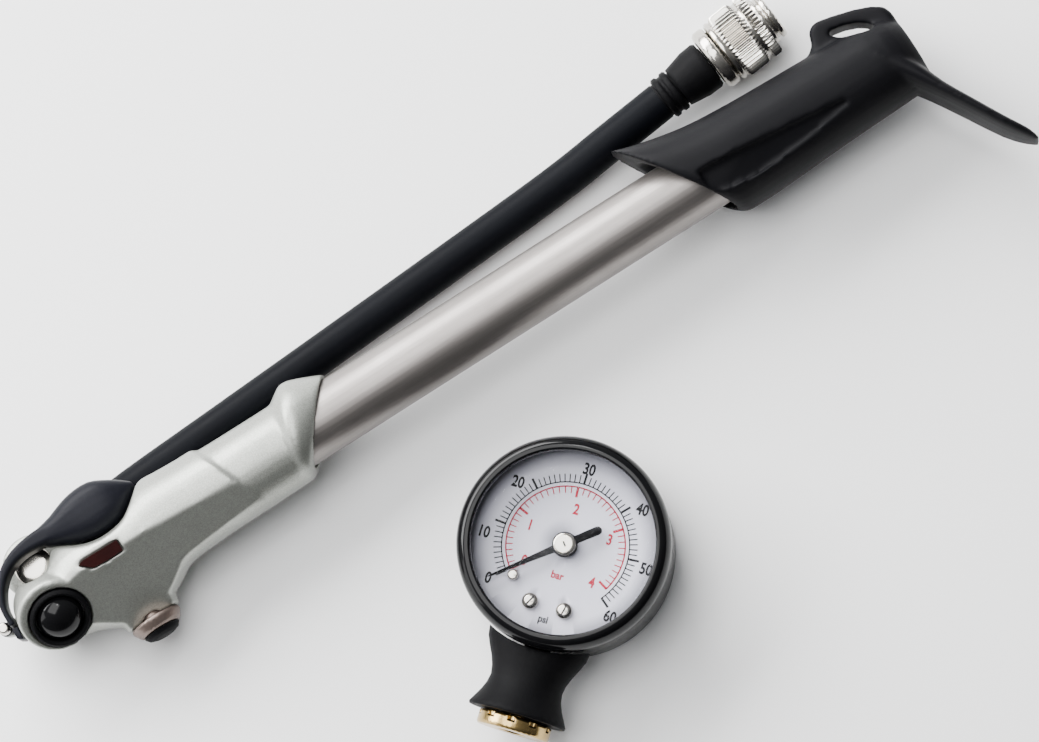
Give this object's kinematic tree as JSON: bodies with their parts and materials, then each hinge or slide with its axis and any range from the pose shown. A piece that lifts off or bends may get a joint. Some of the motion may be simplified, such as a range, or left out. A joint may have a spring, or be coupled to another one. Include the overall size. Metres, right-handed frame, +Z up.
{
  "type": "mini pump",
  "caption": "Hand pump for bicycle tyres with a cast head, folding foot lever, swivelling hose with screw-on chuck, sculpted handle and a separate dial gauge.",
  "frame": {"origin": "on the head casting's flat underside, below the head's middle, with the pump lying on its side", "axes": "+X along the barrel from the head to the handle, +Y towards the hose side, +Z up from the surface it lies on"},
  "size_m": [0.2651, 0.1246, 0.0267],
  "materials": {
    "pearl_casting": "satin pearl silver",
    "barrel": "satin warm grey",
    "grip": "matt black",
    "rubber": "matt",
    "hose": "smooth blue-black",
    "lever": "satin blue-black",
    "gloss_black": "gloss",
    "nickel": "bright nickel",
    "brass": "machined",
    "bronze": "pinkish anodised",
    "steel": "turned",
    "inlay": "dark red",
    "dial": "satin white",
    "lens": "clear"
  },
  "bodies": {
    "pump": {"head_casting": "pearl_casting", "nose_ring": "rubber", "nose_cap": "gloss_black", "label_inlay": "inlay", "boss_cap": "bronze", "boss_pad": "rubber", "barrel_tube": "barrel", "barrel_seal": "rubber", "valve_seat": "brass", "valve_flap": "rubber", "rod_guide": "grip", "top_bumper": "rubber", "lever_pin": "nickel", "hinge_cover": "lever", "hub_bolt": "nickel"},
    "piston": {"handle_grip": "grip", "piston_rod": "steel", "rod_screw": "steel", "piston_head": "grip", "piston_seal": "rubber", "piston_nut": "steel"},
    "lever": {"foot_lever": "lever"},
    "hose": {"hose_hub": "pearl_casting", "hose_tube": "hose", "hose_collar": "rubber", "hose_boot": "rubber", "chuck_body": "nickel", "chuck_seal": "rubber", "valve_pin": "brass"},
    "chuck_ring": {"chuck_ring": "nickel"},
    "gauge": {"gauge_case": "gloss_black", "gauge_bezel": "gloss_black", "gauge_lens": "lens", "gauge_dial": "dial", "dial_screw_left": "nickel", "dial_screw_right": "nickel", "stop_pin": "nickel", "movement_plate": "brass", "bourdon_tube": "brass", "gauge_socket": "brass", "gauge_neck": "rubber"},
    "gauge_nut": {"gauge_nut": "brass", "nut_seal": "rubber"},
    "needle": {"gauge_needle": "gloss_black", "needle_cap": "nickel"}
  },
  "joints": [
    {"name": "pump_stroke", "type": "slide", "parent": "pump", "child": "piston", "axis": [1, 0, 0], "range_m": [0, 0.15]},
    {"name": "foot_lever_fold", "type": "hinge", "parent": "pump", "child": "lever", "pos_m": [-0.02445, 0.0046, 0.012], "axis": [0, 0, 1], "range_deg": [0, 80]},
    {"name": "hose_swivel", "type": "hinge", "parent": "pump", "child": "hose", "pos_m": [-0.0115, 0.0145, 0.005], "axis": [0, 0, 1], "range_deg": [0, 120]},
    {"name": "chuck_ring_turn", "type": "hinge", "parent": "hose", "child": "chuck_ring", "pos_m": [0.19406, 0.03032, 0.00867], "axis": [0.9941, 0.0922, 0.0576], "continuous": true},
    {"name": "gauge_lift", "type": "slide", "parent": "pump", "child": "gauge", "axis": [0, 0, 1], "range_m": [0, 0.06]},
    {"name": "gauge_nut_turn", "type": "hinge", "parent": "gauge", "child": "gauge_nut", "pos_m": [0.06387, -0.07801, 0.0121], "axis": [-0.7547, -0.6561, 0], "continuous": true},
    {"name": "needle_sweep", "type": "hinge", "parent": "gauge", "child": "needle", "pos_m": [0.0961, -0.05, 0.0201], "axis": [0, 0, -1], "range_deg": [0, 258]}
  ]
}
